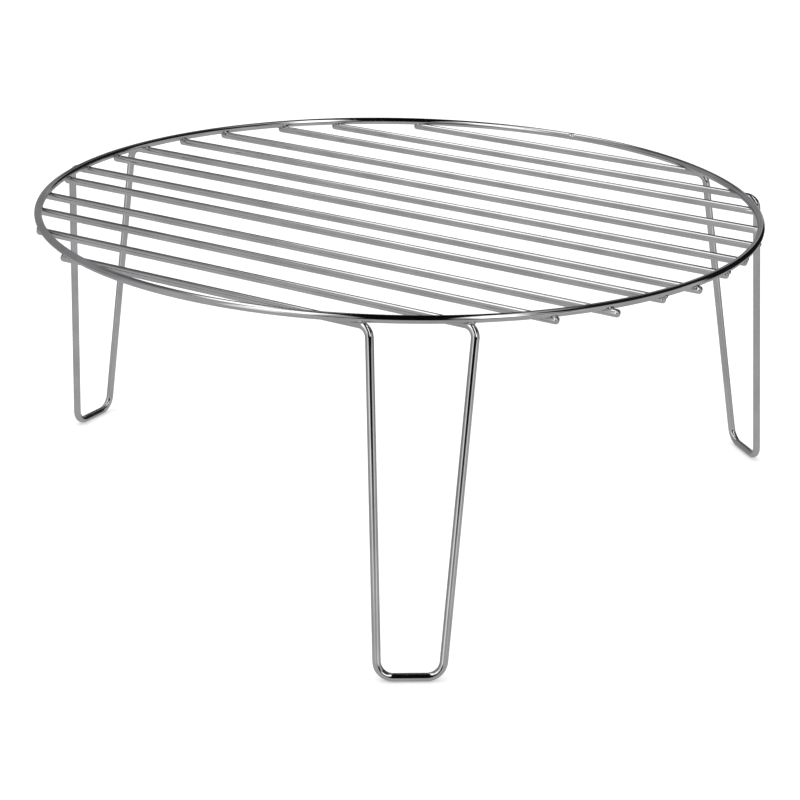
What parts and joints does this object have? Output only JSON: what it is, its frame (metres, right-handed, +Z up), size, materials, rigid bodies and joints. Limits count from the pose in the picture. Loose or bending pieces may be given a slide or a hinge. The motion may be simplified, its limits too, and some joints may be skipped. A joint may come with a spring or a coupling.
{
  "type": "cooling rack",
  "caption": "Round welded wire cooling rack: parallel bars under a wire ring, raised on U-shaped wire legs.",
  "frame": {"origin": "centre of the rack's overall length and width, at the plane the three feet stand on", "axes": "+Z up; +X along the bars, away from the left leg; +Y towards the rear leg"},
  "size_m": [0.3068, 0.29, 0.128],
  "materials": {
    "wire_chrome": "bright chrome-plated steel wire, smooth, with faint draw lines and small marks",
    "weld_metal": "plated weld metal, slightly rougher than the wire"
  },
  "bodies": {
    "root": {"ring": "wire_chrome", "leg_wire_left": "wire_chrome", "leg_wire_right": "wire_chrome", "leg_wire_front": "wire_chrome", "cross_bar_row_03": "wire_chrome", "cross_bar_row_04": "wire_chrome", "cross_bar_row_05": "wire_chrome", "cross_bar_row_07": "wire_chrome", "cross_bar_row_09": "wire_chrome", "cross_bar_row_10": "wire_chrome", "cross_bar_row_11": "wire_chrome", "weld_row_01_left": "weld_metal", "weld_row_01_right": "weld_metal", "weld_row_02_left": "weld_metal", "weld_row_02_right": "weld_metal", "weld_row_03_left": "weld_metal", "weld_row_03_right": "weld_metal", "weld_row_04_left": "weld_metal", "weld_row_04_right": "weld_metal", "weld_row_05_left": "weld_metal", "weld_row_05_right": "weld_metal", "weld_row_06_left": "weld_metal", "weld_row_06_right": "weld_metal", "weld_row_07_left": "weld_metal", "weld_row_07_right": "weld_metal", "weld_row_08_left": "weld_metal", "weld_row_08_right": "weld_metal", "weld_row_09_left": "weld_metal", "weld_row_09_right": "weld_metal", "weld_row_10_left": "weld_metal", "weld_row_10_right": "weld_metal", "weld_row_11_left": "weld_metal", "weld_row_11_right": "weld_metal", "weld_row_12_left": "weld_metal", "weld_row_12_right": "weld_metal", "weld_row_13_left": "weld_metal", "weld_row_13_right": "weld_metal"}
  },
  "joints": []
}
